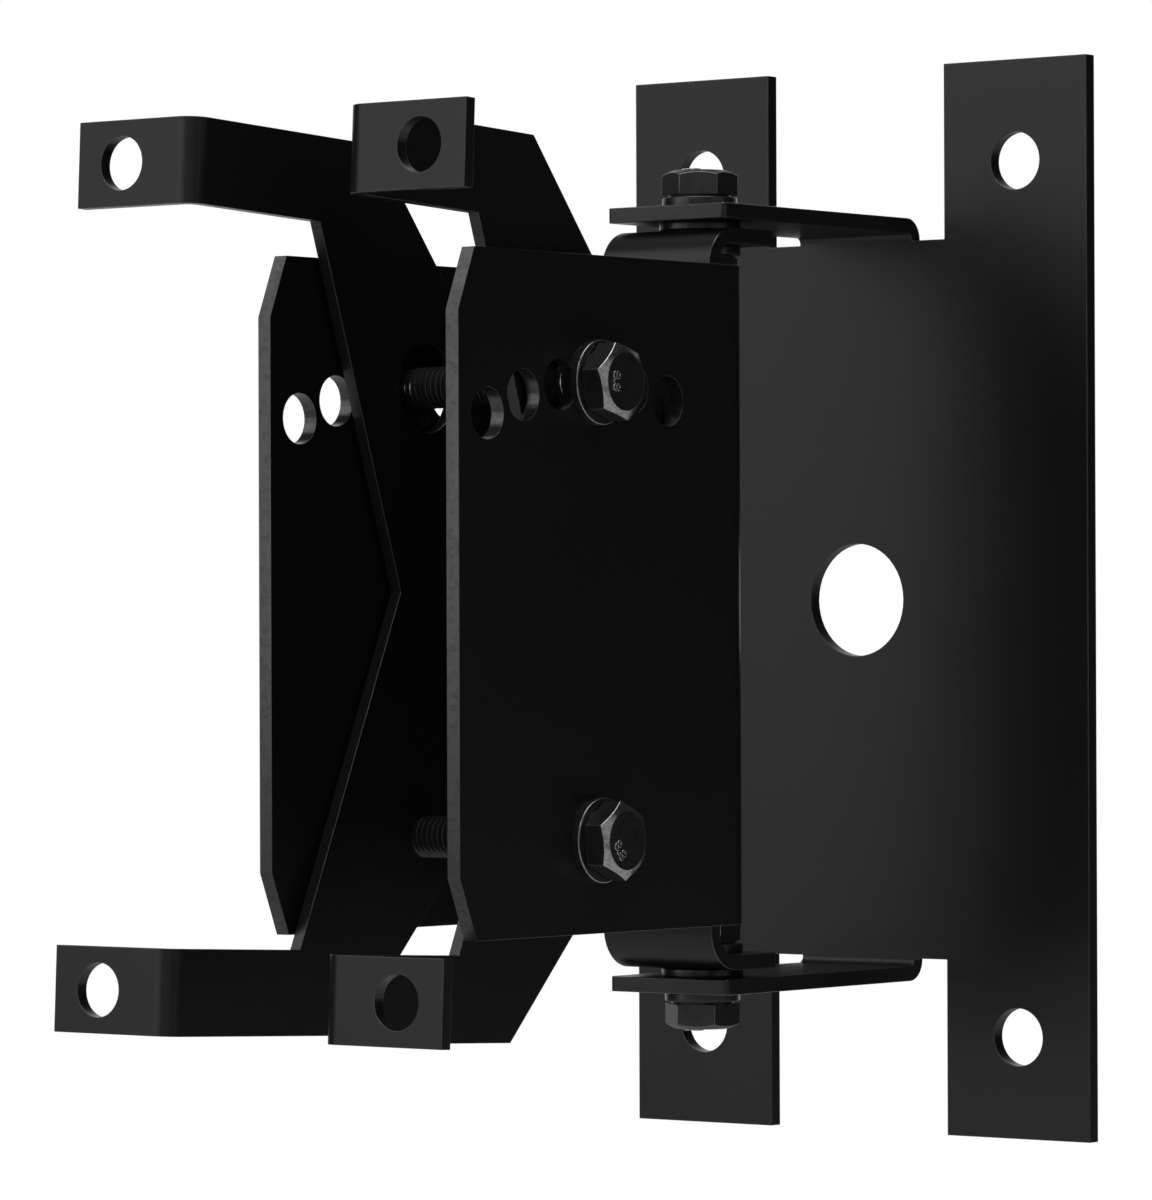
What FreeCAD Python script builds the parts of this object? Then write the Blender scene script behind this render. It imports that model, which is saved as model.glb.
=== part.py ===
"""Speaker wall bracket: a folded steel wall plate, a channel that swings on two pan bolts between its ears,
a second channel in front of it, and a forked yoke with four tabs that tilts inside that channel."""
import FreeCAD, Part
import math
import os

import Sketcher

# Frame: X along the wall, Y into the wall, Z up. The origin is the centre of the wall plate's back face.

SIZES = {
    # Wall plate
    "plate_height": 215.6,
    "plate_width": 112.0,
    "column_width": 34.2,
    "plate_thickness": 3.0,
    "fixing_spacing_x": 78.0,
    "fixing_spacing_z": 175.0,
    "fixing_hole": 11.5,
    "cable_hole": 22.8,
    "ear_spread": 154.0,
    "ear_reach": 67.3,
    "ear_root_width": 27.8,
    "ear_tip_width": 28.6,
    "ear_corner_radius": 1.0,
    "ear_bend_radius": 1.3,
    "relief_margin": 0.2,
    # Swivel channel
    "pan_reach": 56.0,
    "swivel_width": 26.4,
    "swivel_thickness": 3.0,
    "swivel_reach": 14.8,
    "swivel_tail": 7.0,
    "swivel_bend_radius": 5.0,
    "swivel_corner_radius": 1.0,
    "pan_clearance": 0.1,
    # Tilt channel
    "channel_width": 47.8,
    "channel_height": 126.6,
    "channel_depth": 90.9,
    "channel_thickness": 3.0,
    "channel_bend_radius": 4.0,
    "corner_cut_depth": 4.8,
    "corner_cut_height": 11.6,
    "pivot_reach": 49.8,
    "pivot_rise": 17.4,
    "pivot_drop": 45.2,
    "arc_radius": 85.4,
    "arc_step": 7.5,
    "arc_hole": 9.6,
    # Speaker yoke
    "yoke_gap": 0.7,
    "yoke_thickness": 2.5,
    "yoke_height": 168.0,
    "yoke_foot": 37.8,
    "yoke_lean": 2.7,
    "yoke_bend_radius": 1.5,
    "tab_reach": 72.1,
    "tab_height": 16.0,
    "tab_span": 91.7,
    "tab_hole": 10.0,
    "tab_spacing_x": 70.6,
    "lock_hole": 17.0,
    "lock_hole_lead": 1.9,
    "arm_length": 52.0,
    "vee_reach": 35.9,
    "vee_apex": 9.1,
    "spine_setback": 25.0,
    "spine_height": 68.0,
    # Bolts, nuts and washers
    "bolt_diameter": 8.0,
    "across_flats": 13.0,
    "head_height": 5.3,
    "nut_height": 6.5,
    "washer_diameter": 16.0,
    "washer_thickness": 1.6,
    "spring_washer_diameter": 14.8,
    "spring_washer_thickness": 2.0,
    "spring_washer_split": 1.2,
    "bolt_hole_clearance": 0.1,
    "thread_clearance": 0.1,
    "pan_bolt_length": 20.0,
    "tilt_bolt_length": 60.0,
}

# Holes of the tilt arc: their count, and how many lie in front of the one above the pivot.
ARC_HOLES = 6
ARC_HOLES_IN_FRONT = 3

# Turns of the hexagons about their bolts, in degrees.
HEX_TURN = {"pan_top": 34.0, "pan_bottom": 35.0, "tilt_pivot": 6.0, "tilt_lock": 14.0}
CHAMFER_SLOPE = 30.0

X_AXIS = FreeCAD.Vector(1, 0, 0)
Y_AXIS = FreeCAD.Vector(0, 1, 0)
Z_AXIS = FreeCAD.Vector(0, 0, 1)

doc = FreeCAD.newDocument("SpeakerWallBracket")
sheet = doc.addObject("Spreadsheet::Sheet", "Sizes")


class Size:
    """A size with its value and the expression that ties an object to the sheet."""

    def __init__(self, value, text):
        self.value = value
        self.text = text

    def _pair(self, other, sign, value):
        text = other.text if isinstance(other, Size) else repr(float(other))
        return Size(value, f"({self.text} {sign} {text})")

    def __add__(self, other):
        return self._pair(other, "+", self.value + number(other))

    def __sub__(self, other):
        return self._pair(other, "-", self.value - number(other))

    def __mul__(self, other):
        return self._pair(other, "*", self.value * number(other))

    def __truediv__(self, other):
        return self._pair(other, "/", self.value / number(other))

    def __neg__(self):
        return Size(-self.value, f"(0 - {self.text})")


def number(size):
    return size.value if isinstance(size, Size) else float(size)


def sine(angle):
    return Size(math.sin(math.radians(angle.value)), f"sin({angle.text})")


def cosine(angle):
    return Size(math.cos(math.radians(angle.value)), f"cos({angle.text})")


def fill_sheet():
    for row, (name, value) in enumerate(SIZES.items(), start=1):
        sheet.set(f"A{row}", name)
        sheet.set(f"B{row}", str(value))
        sheet.setAlias(f"B{row}", name)
    doc.recompute()
    return {name: Size(value, f"Sizes.{name}") for name, value in SIZES.items()}


def bind(thing, path, size):
    thing.setExpression(path, size.text)


def place(thing, x=None, y=None, z=None):
    for path, size in (("x", x), ("y", y), ("z", z)):
        if size is not None:
            bind(thing, f"Placement.Base.{path}", size)


# Sketches

def plane_of(body, role):
    return next(item for item in body.Origin.OriginFeatures if item.Role == role)


def new_sketch(body, name, role, offset=None):
    sketch = body.newObject("Sketcher::SketchObject", name)
    sketch.AttachmentSupport = [(plane_of(body, role), "")]
    sketch.MapMode = "FlatFace"
    if offset is not None:
        bind(sketch, "AttachmentOffset.Base.z", offset)
    return sketch


def fix_point(sketch, shape, end, across, up):
    """Ties one point of a sketch shape to its two coordinates."""
    for kind, size in (("DistanceX", across), ("DistanceY", up)):
        if abs(size.value) < 1e-9:
            axis = -2 if kind == "DistanceX" else -1
            sketch.addConstraint(Sketcher.Constraint("PointOnObject", shape, end, axis))
            continue
        index = sketch.addConstraint(Sketcher.Constraint(kind, -1, 1, shape, end, size.value))
        bind(sketch, f"Constraints[{index}]", size)


def add_polygon(sketch, corners):
    """Closed outline through corners, each a pair of sizes."""
    points = [FreeCAD.Vector(across.value, up.value, 0) for across, up in corners]
    lines = []
    for start, end in zip(points, points[1:] + points[:1]):
        lines.append(sketch.addGeometry(Part.LineSegment(start, end), False))
    for line, following in zip(lines, lines[1:] + lines[:1]):
        sketch.addConstraint(Sketcher.Constraint("Coincident", line, 2, following, 1))
    for line, (across, up) in zip(lines, corners):
        fix_point(sketch, line, 1, across, up)


def add_rectangle(sketch, left, right, low, high):
    add_polygon(sketch, [(left, low), (right, low), (right, high), (left, high)])


def add_circle(sketch, across, up, diameter):
    centre = FreeCAD.Vector(across.value, up.value, 0)
    circle = sketch.addGeometry(Part.Circle(centre, Z_AXIS, diameter.value / 2), False)
    fix_point(sketch, circle, 3, across, up)
    index = sketch.addConstraint(Sketcher.Constraint("Diameter", circle, diameter.value))
    bind(sketch, f"Constraints[{index}]", diameter)


# Features

def new_body(label):
    body = doc.addObject("PartDesign::Body", label)
    body.Label = label
    return body


def pad(body, sketch, length, both_ways=False, backwards=False):
    feature = body.newObject("PartDesign::Pad", f"{sketch.Name}Pad")
    feature.Profile = sketch
    bind(feature, "Length", length)
    feature.Midplane = both_ways
    feature.Reversed = backwards
    sketch.Visibility = False
    return feature


def cut_through(body, sketch):
    """Cuts the sketch both ways through the whole body."""
    before = solid_after(body).Volume
    feature = body.newObject("PartDesign::Pocket", f"{sketch.Name}Cut")
    feature.Profile = sketch
    feature.Type = "ThroughAll"
    feature.Midplane = True
    sketch.Visibility = False
    check_removed(body, before, feature.Name)
    return feature


def check_removed(body, before, name):
    if not solid_after(body).Volume < before:
        raise RuntimeError(f"{name} cuts nothing")


def solid_after(body):
    doc.recompute()
    return body.Shape


def edges_along(body, direction, places):
    """Names of the body's straight edges along a direction that run through one of the places.
    A place gives the two coordinates across the direction, in the order of X, Y, Z."""
    shape = solid_after(body)
    across = [index for index in range(3) if abs(direction[index]) < 0.5]
    wanted = [tuple(number(size) for size in spot) for spot in places]
    names = []
    for index, edge in enumerate(shape.Edges, start=1):
        if not isinstance(edge.Curve, (Part.Line, Part.LineSegment)):
            continue
        if edge.tangentAt(edge.FirstParameter).cross(direction).Length > 1e-6:
            continue
        middle = edge.CenterOfMass
        for spot in wanted:
            if all(abs(middle[axis] - value) < 1e-4 for axis, value in zip(across, spot)):
                names.append(f"Edge{index}")
    return names


def round_edges(body, name, direction, places, radius):
    tip = body.Tip
    names = edges_along(body, direction, places)
    if len(names) < len(places):
        raise RuntimeError(f"{name}: {len(names)} edges found for {len(places)} places")
    feature = body.newObject("PartDesign::Fillet", name)
    feature.Base = (tip, names)
    bind(feature, "Radius", radius)
    return feature


# Folded plates

def wall_plate():
    """H-shaped plate with four fixing holes, a cable hole and an ear folded forward at top and bottom."""
    half_width = S["plate_width"] / 2
    half_height = S["plate_height"] / 2
    column = half_width - S["column_width"]
    root = S["ear_root_width"] / 2
    tip = S["ear_tip_width"] / 2
    ear = S["ear_spread"] / 2
    thickness = S["plate_thickness"]
    outer_bend = S["ear_bend_radius"] + thickness
    floor = ear - outer_bend - S["relief_margin"]

    body = new_body("wall_plate")
    outline = new_sketch(body, "PlateOutline", "XZ_Plane")
    quarter = [(root, ear), (root, floor), (column, floor), (column, half_height), (half_width, half_height)]
    right = quarter + [(across, -up) for across, up in reversed(quarter)]
    left = [(-across, up) for across, up in reversed(right)]
    add_polygon(outline, right + left)
    pad(body, outline, thickness)

    for name, level in (("TopEar", ear - thickness), ("BottomEar", -ear)):
        sketch = new_sketch(body, name, "XY_Plane", level)
        side = [(root, -thickness / 2), (root, -outer_bend), (tip, -S["ear_reach"])]
        add_polygon(sketch, side + [(-across, up) for across, up in reversed(side)])
        pad(body, sketch, thickness)

    levels = (ear, -ear)
    round_edges(body, "EarBendOutside", X_AXIS, [(0, level) for level in levels], outer_bend)
    inside = [(-thickness, level) for level in (ear - thickness, thickness - ear)]
    round_edges(body, "EarBendInside", X_AXIS, inside, S["ear_bend_radius"])
    corners = [(across, -S["ear_reach"]) for across in (tip, -tip)]
    round_edges(body, "EarCorners", Z_AXIS, corners, S["ear_corner_radius"])

    holes = new_sketch(body, "FixingHoles", "XZ_Plane")
    for across in (-S["fixing_spacing_x"] / 2, S["fixing_spacing_x"] / 2):
        for up in (-S["fixing_spacing_z"] / 2, S["fixing_spacing_z"] / 2):
            add_circle(holes, across, up, S["fixing_hole"])
    cut_through(body, holes)
    cable = new_sketch(body, "CableHole", "XZ_Plane")
    add_circle(cable, ZERO, ZERO, S["cable_hole"])
    cut_through(body, cable)
    pan = new_sketch(body, "PanHoles", "XY_Plane")
    add_circle(pan, ZERO, -S["pan_reach"], S["bolt_diameter"] + S["bolt_hole_clearance"] * 2)
    cut_through(body, pan)
    return body


def swivel_channel():
    """Channel between the ears. Its flanges swing on the pan bolts, its web carries the tilt channel."""
    half_width = S["swivel_width"] / 2
    thickness = S["swivel_thickness"]
    front = -S["swivel_reach"]
    high = swivel_top()
    tail = S["swivel_tail"]
    outer_bend = S["swivel_bend_radius"] + thickness

    body = new_body("swivel_channel")
    profile = new_sketch(body, "SwivelProfile", "YZ_Plane")
    upper = [(front, high), (tail, high), (tail, high - thickness), (front + thickness, high - thickness)]
    add_polygon(profile, upper + [(across, -up) for across, up in reversed(upper)])
    pad(body, profile, S["swivel_width"], both_ways=True)
    round_edges(body, "SwivelBendOutside", X_AXIS, [(front, high), (front, -high)], outer_bend)
    inside = [(front + thickness, level) for level in (high - thickness, thickness - high)]
    round_edges(body, "SwivelBendInside", X_AXIS, inside, S["swivel_bend_radius"])
    corners = [(across, tail) for across in (half_width, -half_width)]
    round_edges(body, "SwivelCorners", Z_AXIS, corners, S["swivel_corner_radius"])
    pan = new_sketch(body, "SwivelPanHoles", "XY_Plane")
    add_circle(pan, ZERO, ZERO, S["bolt_diameter"] + S["bolt_hole_clearance"] * 2)
    cut_through(body, pan)
    place(body, y=-S["pan_reach"])
    return body


def tilt_channel():
    """Channel flush on the swivel channel's web, with the tilt pivot and an arc of holes in each side plate."""
    half_width = S["channel_width"] / 2
    thickness = S["channel_thickness"]
    rear = S["pivot_reach"]
    front = rear - S["channel_depth"]
    low = -S["pivot_rise"]
    high = low + S["channel_height"]
    outer_bend = S["channel_bend_radius"] + thickness

    body = new_body("tilt_channel")
    profile = new_sketch(body, "ChannelProfile", "XY_Plane", low)
    side = [(half_width, rear), (half_width, front), (half_width - thickness, front)]
    side = side + [(half_width - thickness, rear - thickness)]
    add_polygon(profile, side + [(-across, up) for across, up in reversed(side)])
    pad(body, profile, S["channel_height"])
    outside = [(across, rear) for across in (half_width, -half_width)]
    round_edges(body, "ChannelBendOutside", Z_AXIS, outside, outer_bend)
    inside = [(across, rear - thickness) for across in (half_width - thickness, thickness - half_width)]
    round_edges(body, "ChannelBendInside", Z_AXIS, inside, S["channel_bend_radius"])

    cuts = new_sketch(body, "CornerCuts", "YZ_Plane")
    beyond = front - S["corner_cut_depth"]
    for edge, inward, outward in ((high, -1, 1), (low, 1, -1)):
        step = S["corner_cut_height"]
        add_polygon(cuts, [
            (front + S["corner_cut_depth"], edge),
            (front, edge + step * inward),
            (beyond, edge + step * inward),
            (beyond, edge + step * outward),
            (front + S["corner_cut_depth"], edge + step * outward),
        ])
    cut_through(body, cuts)

    pivot = new_sketch(body, "ChannelPivotHole", "YZ_Plane")
    add_circle(pivot, ZERO, ZERO, S["bolt_diameter"] + S["bolt_hole_clearance"] * 2)
    cut_through(body, pivot)
    first = new_sketch(body, "FirstArcHole", "YZ_Plane")
    angle = S["arc_step"] * ARC_HOLES_IN_FRONT
    add_circle(first, -(S["arc_radius"] * sine(angle)), S["arc_radius"] * cosine(angle), S["arc_hole"])
    hole = cut_through(body, first)
    repeat_on_arc(body, hole)
    place(body, y=-(S["pan_reach"] + S["swivel_reach"] + S["pivot_reach"]), z=-S["pivot_drop"])
    return body


def repeat_on_arc(body, hole):
    """Repeats the first hole about the pivot, towards the rear."""
    before = solid_after(body).Volume
    pattern = body.newObject("PartDesign::PolarPattern", "ArcHoles")
    pattern.Originals = [hole]
    pattern.Axis = (plane_of(body, "X_Axis"), [""])
    pattern.Reversed = True
    bind(pattern, "Angle", S["arc_step"] * (ARC_HOLES - 1))
    pattern.Occurrences = ARC_HOLES
    body.Tip = pattern
    check_removed(body, before, pattern.Name)


def speaker_yoke():
    """Fork inside the tilt channel: two notched arm plates on a rear spine, with four tabs folded outward."""
    thickness = S["yoke_thickness"]
    outside = S["channel_width"] / 2 - S["channel_thickness"] - S["yoke_gap"]
    inside = outside - thickness
    outer_bend = S["yoke_bend_radius"] + thickness
    front = -S["tab_reach"]
    rear = S["spine_setback"]
    low = -S["yoke_foot"]
    high = low + S["yoke_height"]
    middle = low + S["yoke_height"] / 2
    arm_end = front + S["arm_length"]

    body = new_body("speaker_yoke")
    spine = new_sketch(body, "Spine", "XZ_Plane", -rear)
    add_rectangle(spine, -outside, outside, low, high)
    pad(body, spine, thickness)

    arm = [
        (front, high),
        (front, high - S["tab_height"]),
        (-S["vee_reach"], high - S["tab_height"]),
        (-S["vee_apex"], middle),
        (-S["vee_reach"], low + S["tab_height"]),
        (front, low + S["tab_height"]),
        (front, low),
        (rear, low),
        (rear, high),
    ]
    for name, level in (("RightArm", inside), ("LeftArm", -outside)):
        sketch = new_sketch(body, name, "YZ_Plane", level)
        add_polygon(sketch, arm)
        pad(body, sketch, thickness)

    rows = ((high - S["tab_height"], high), (low, low + S["tab_height"]))
    tabs = new_sketch(body, "Tabs", "XZ_Plane", -front)
    for bottom, top in rows:
        add_rectangle(tabs, inside, S["tab_span"] / 2, bottom, top)
        add_rectangle(tabs, -S["tab_span"] / 2, -inside, bottom, top)
    pad(body, tabs, thickness, backwards=True)

    round_edges(body, "TabBendOutside", Z_AXIS, [(inside, front), (-inside, front)], outer_bend)
    corner = front + thickness
    round_edges(body, "TabBendInside", Z_AXIS, [(outside, corner), (-outside, corner)], S["yoke_bend_radius"])
    round_edges(body, "SpineBendOutside", Z_AXIS, [(outside, rear), (-outside, rear)], outer_bend)
    corner = rear - thickness
    round_edges(body, "SpineBendInside", Z_AXIS, [(inside, corner), (-inside, corner)], S["yoke_bend_radius"])

    shoulders = new_sketch(body, "Shoulders", "YZ_Plane")
    beyond = rear + thickness
    for edge, inward in ((high, -1), (low, 1)):
        outward = edge - thickness * inward
        spine_end = middle - S["spine_height"] / 2 * inward
        add_polygon(shoulders, [
            (arm_end, edge),
            (rear, spine_end),
            (beyond, spine_end),
            (beyond, outward),
            (arm_end, outward),
        ])
    cut_through(body, shoulders)

    holes = new_sketch(body, "TabHoles", "XZ_Plane")
    for bottom, top in rows:
        for across in (S["tab_spacing_x"] / 2, -S["tab_spacing_x"] / 2):
            add_circle(holes, across, (bottom + top) / 2, S["tab_hole"])
    cut_through(body, holes)
    pivot = new_sketch(body, "YokePivotHole", "YZ_Plane")
    add_circle(pivot, ZERO, ZERO, S["bolt_diameter"] + S["bolt_hole_clearance"] * 2)
    cut_through(body, pivot)
    lock = new_sketch(body, "LockHole", "YZ_Plane")
    lead = S["lock_hole_lead"]
    add_circle(lock, -(S["arc_radius"] * sine(lead)), S["arc_radius"] * cosine(lead), S["lock_hole"])
    cut_through(body, lock)

    body.Placement = FreeCAD.Placement(FreeCAD.Vector(), FreeCAD.Rotation(-X_AXIS, S["yoke_lean"].value))
    bind(body, "Placement.Rotation.Angle", S["yoke_lean"])
    place(body, y=-(S["pan_reach"] + S["swivel_reach"] + S["pivot_reach"]), z=-S["pivot_drop"])
    return body


# Hardware, each piece along its own Z axis with its bearing face at zero

def cylinder(name, diameter, height, base=None):
    piece = doc.addObject("Part::Cylinder", name)
    bind(piece, "Radius", diameter / 2)
    bind(piece, "Height", height)
    if base is not None:
        place(piece, z=base)
    return piece


def hexagon(name, height, turn):
    """Hexagon of the across-flats size."""
    prism = doc.addObject("Part::Prism", name)
    prism.Polygon = 6
    bind(prism, "Circumradius", S["across_flats"] / math.sqrt(3))
    bind(prism, "Height", height)
    prism.Placement.Rotation = FreeCAD.Rotation(Z_AXIS, turn)
    return prism


def crown(name, height):
    """Cone that trims the corners of a hexagon's far face."""
    cone = doc.addObject("Part::Cone", name)
    rim = S["across_flats"] / 2
    bind(cone, "Radius1", rim + height / math.tan(math.radians(CHAMFER_SLOPE)))
    bind(cone, "Radius2", rim)
    bind(cone, "Height", height)
    return cone


def finish(piece, label, turn, x=None, y=None, z=None):
    piece.Label = label
    piece.Placement = FreeCAD.Placement(FreeCAD.Vector(), turn)
    place(piece, x, y, z)
    return piece


def bolt(label, length, hex_turn, turn, **spot):
    """Hexagon bolt with its head on the bearing face and its shank below."""
    head = doc.addObject("Part::Common", f"{label}_head")
    head.Base = hexagon(f"{label}_prism", S["head_height"], hex_turn)
    head.Tool = crown(f"{label}_crown", S["head_height"])
    shank = cylinder(f"{label}_shank", S["bolt_diameter"], length, -length)
    whole = doc.addObject("Part::MultiFuse", label)
    whole.Shapes = [head, shank]
    whole.Refine = True
    return finish(whole, label, turn, **spot)


def nut(label, hex_turn, turn, **spot):
    """Hexagon nut that stands on its bearing face."""
    body = hexagon(f"{label}_body", S["nut_height"], hex_turn)
    bore = cylinder(f"{label}_bore", S["bolt_diameter"] + S["thread_clearance"] * 2, S["nut_height"])
    whole = doc.addObject("Part::Cut", label)
    whole.Base = body
    whole.Tool = bore
    return finish(whole, label, turn, **spot)


def washer(label, turn, **spot):
    """Plain washer that stands on its bearing face."""
    disc = cylinder(f"{label}_disc", S["washer_diameter"], S["washer_thickness"])
    bore = cylinder(f"{label}_bore", S["bolt_diameter"] + S["bolt_hole_clearance"] * 2, S["washer_thickness"])
    whole = doc.addObject("Part::Cut", label)
    whole.Base = disc
    whole.Tool = bore
    return finish(whole, label, turn, **spot)


def spring_washer(label, turn, **spot):
    """Split lock washer, closed flat, with its split towards the wall."""
    disc = cylinder(f"{label}_disc", S["spring_washer_diameter"], S["spring_washer_thickness"])
    bore_diameter = S["bolt_diameter"] + S["bolt_hole_clearance"] * 2
    bore = cylinder(f"{label}_bore", bore_diameter, S["spring_washer_thickness"])
    split = doc.addObject("Part::Box", f"{label}_split")
    bind(split, "Length", S["spring_washer_split"])
    bind(split, "Width", S["spring_washer_diameter"])
    bind(split, "Height", S["spring_washer_thickness"])
    place(split, x=-(S["spring_washer_split"] / 2))
    removed = doc.addObject("Part::MultiFuse", f"{label}_removed")
    removed.Shapes = [bore, split]
    whole = doc.addObject("Part::Cut", label)
    whole.Base = disc
    whole.Tool = removed
    return finish(whole, label, turn, **spot)


def swivel_top():
    """Height of the swivel channel's outer face: below the ear, its spacer washer and the running clearance."""
    return S["ear_spread"] / 2 - S["plate_thickness"] - S["washer_thickness"] - S["pan_clearance"]


def pan_joint(side, sign):
    """Bolt, washers and nut through one ear. The sign is 1 at the top and -1 at the bottom."""
    outward = FreeCAD.Rotation() if sign > 0 else FreeCAD.Rotation(X_AXIS, 180)
    inward = FreeCAD.Rotation(X_AXIS, 180) if sign > 0 else FreeCAD.Rotation()
    axis = -S["pan_reach"]
    ear_face = S["ear_spread"] / 2
    spacer_face = ear_face - S["plate_thickness"]
    inner_face = swivel_top() - S["swivel_thickness"] - S["pan_clearance"]
    head_face = ear_face + S["spring_washer_thickness"]
    nut_face = inner_face - S["washer_thickness"]
    hex_turn = HEX_TURN[f"pan_{side}"]
    return [
        spring_washer(f"pan_spring_washer_{side}", outward, y=axis, z=ear_face * sign),
        bolt(f"pan_bolt_{side}", S["pan_bolt_length"], hex_turn, outward, y=axis, z=head_face * sign),
        washer(f"pan_spacer_{side}", inward, y=axis, z=spacer_face * sign),
        washer(f"pan_washer_{side}", inward, y=axis, z=inner_face * sign),
        nut(f"pan_nut_{side}", hex_turn, inward, y=axis, z=nut_face * sign),
    ]


def tilt_joint(name, rise):
    """Long bolt across both side plates and both yoke arms, with washers and a nut, at a rise above the pivot."""
    to_right = FreeCAD.Rotation(Y_AXIS, 90)
    to_left = FreeCAD.Rotation(Y_AXIS, -90)
    face = S["channel_width"] / 2
    head_face = face + S["washer_thickness"]
    spot = {"y": -(S["pan_reach"] + S["swivel_reach"] + S["pivot_reach"]), "z": rise - S["pivot_drop"]}
    hex_turn = HEX_TURN[name]
    return [
        washer(f"{name}_head_washer", to_right, x=face, **spot),
        bolt(f"{name}_bolt", S["tilt_bolt_length"], hex_turn, to_right, x=head_face, **spot),
        washer(f"{name}_nut_washer", to_left, x=-face, **spot),
        nut(f"{name}_nut", hex_turn, to_left, x=-head_face, **spot),
    ]


def export(nodes):
    doc.recompute()
    for item in doc.Objects:
        if "Invalid" in item.State or "Error" in item.State:
            raise RuntimeError(f"{item.Name} failed: {item.State}")
    for node in nodes:
        if node.Shape.isNull() or not node.Shape.isValid():
            raise RuntimeError(f"{node.Label} has no valid shape")
        if len(node.Shape.Solids) != 1:
            raise RuntimeError(f"{node.Label} is not one solid")
    os.makedirs("parts", exist_ok=True)
    for node in nodes:
        node.Shape.exportStep(f"parts/{node.Label}.step")
        print(node.Label, round(node.Shape.Volume, 1))


S = fill_sheet()
ZERO = Size(0.0, "0")
nodes = [wall_plate(), swivel_channel(), tilt_channel(), speaker_yoke()]
nodes += pan_joint("top", 1)
nodes += pan_joint("bottom", -1)
nodes += tilt_joint("tilt_pivot", ZERO)
nodes += tilt_joint("tilt_lock", S["arc_radius"])
export(nodes)
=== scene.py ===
"""Speaker wall bracket: powder coated folded plates with rounded edges, black threaded fasteners
and a plain stage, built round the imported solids."""

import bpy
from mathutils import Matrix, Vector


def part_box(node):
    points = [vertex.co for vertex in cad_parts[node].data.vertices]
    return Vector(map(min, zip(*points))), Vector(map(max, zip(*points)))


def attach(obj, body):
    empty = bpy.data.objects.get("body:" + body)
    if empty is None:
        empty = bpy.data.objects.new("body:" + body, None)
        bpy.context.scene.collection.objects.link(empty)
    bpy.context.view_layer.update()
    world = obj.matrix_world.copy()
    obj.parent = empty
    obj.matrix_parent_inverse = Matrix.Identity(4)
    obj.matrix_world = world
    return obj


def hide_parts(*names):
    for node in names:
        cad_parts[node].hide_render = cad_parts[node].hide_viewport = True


bl_info = {
    "name": "Speaker Wall Bracket",
    "version": (1, 0, 0),
    "blender": (4, 5, 0),
    "location": "3D View > Sidebar > Bracket",
    "description": "Builds the finished plates, fasteners and stage of a speaker wall bracket",
    "category": "Object",
}

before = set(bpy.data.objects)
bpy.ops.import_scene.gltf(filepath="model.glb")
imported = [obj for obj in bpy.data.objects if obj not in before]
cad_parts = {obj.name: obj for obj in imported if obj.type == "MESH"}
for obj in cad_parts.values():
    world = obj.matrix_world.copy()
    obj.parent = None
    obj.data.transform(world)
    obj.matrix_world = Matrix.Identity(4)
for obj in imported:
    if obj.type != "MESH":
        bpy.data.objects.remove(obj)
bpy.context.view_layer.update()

import math

import bmesh
import bpy
from mathutils import Matrix, Vector

MM = 0.001

# Name of the corner attribute that holds the share of worn finish
WEAR = "wear"

# Points nearer to each other than this are one
MERGE = 0.001 * MM

# Values of the plates

# Body that each plate belongs to, how much its sheared edges are rubbed and painted paler as a
# highlight, and how round they are
PLATES = {
    "wall_plate": ("wall", 0.15, 1.0),
    "swivel_channel": ("swivel", 0.1, 1.0),
    "tilt_channel": ("swivel", 1.0, 1.0),
    "speaker_yoke": ("yoke", 0.3, 1.6),
}

# Facets that meet at less than this are one flat face
FLAT_ANGLE = math.radians(0.2)

# Cut edges of a plate are sharper than this, and the facets of its bends are not
CUT_ANGLE = math.radians(40)

# Least share of a cut strip's outline that is sharp
SHARP_SHARE = 0.8

# Values of the fasteners

# Edges of a hexagon are sharper than this, and the facets of its turned faces are not
HEXAGON_ANGLE = math.radians(25)
HEXAGON_EDGE_SEGMENTS = 2

# Upright part of a chamfer's normal, between that of an upright side and that of a level face
CHAMFER_LOW = 0.3
CHAMFER_HIGH = 0.95

# Radii of a hexagon's blank, a head's collar and a nut's flat, as shares of the width across flats
BLANK_SHARE = 0.6
COLLAR_SHARE = 0.47
NUT_FLAT_SHARE = 0.475

# Gap between a thread's nominal radius and that of a bolt or nut, and the chamfer of a nut's mouth
THREAD_PLAY = 0.03 * MM
NUT_MOUTH = 0.5 * MM

# Thread profile in shares of its pitch
ROOT_END = 1 / 4
CREST_START = 9 / 16
CREST_END = 11 / 16
THREAD_DEPTH = 0.613

# Turns beyond a bolt's length, reach of its thread into the head, and tolerances of the thread
SPARE_TURNS = 3
THREAD_REACH = 0.4 * MM
THREAD_MERGE = 0.005 * MM
THREAD_CUT = 0.0001 * MM
CREST_BAND = 0.1 * MM

# Washer's play round the bolt, the width of its rounded edges, and the point halfway round an
# outer edge, in from the rim and up from the face
WASHER_PLAY = 0.1 * MM
WASHER_EDGE = 0.25 * MM
WASHER_EDGE_IN = 0.06 * MM
WASHER_EDGE_UP = 0.08 * MM

# Bevel of the raised figures, as a share of their height
MARK_BEVEL = 0.6

# Ends of the pan axis, and the tilt bolts with the turn of their figures
PAN_SIDES = (("top", 1), ("bottom", -1))
TILT_BOLTS = (("tilt_pivot", math.radians(35)), ("tilt_lock", 0.0))

# Values of the welds

# Lowest and highest point of the beads on each corner
WELD_RUNS = ((-0.050, -0.032), (-0.008, 0.010), (0.034, 0.052))
WELD_SIDES = 20
WELD_STEP = 0.3 * MM

# Height of a bead's ripples and its distance from the corner, as shares of its radius
WELD_SWELL = 0.07
WELD_SHIFT = 0.15

# Least cross section at a bead's ends, as a share of the full one
WELD_TIP = 0.04

# Values of the finishes

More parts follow.
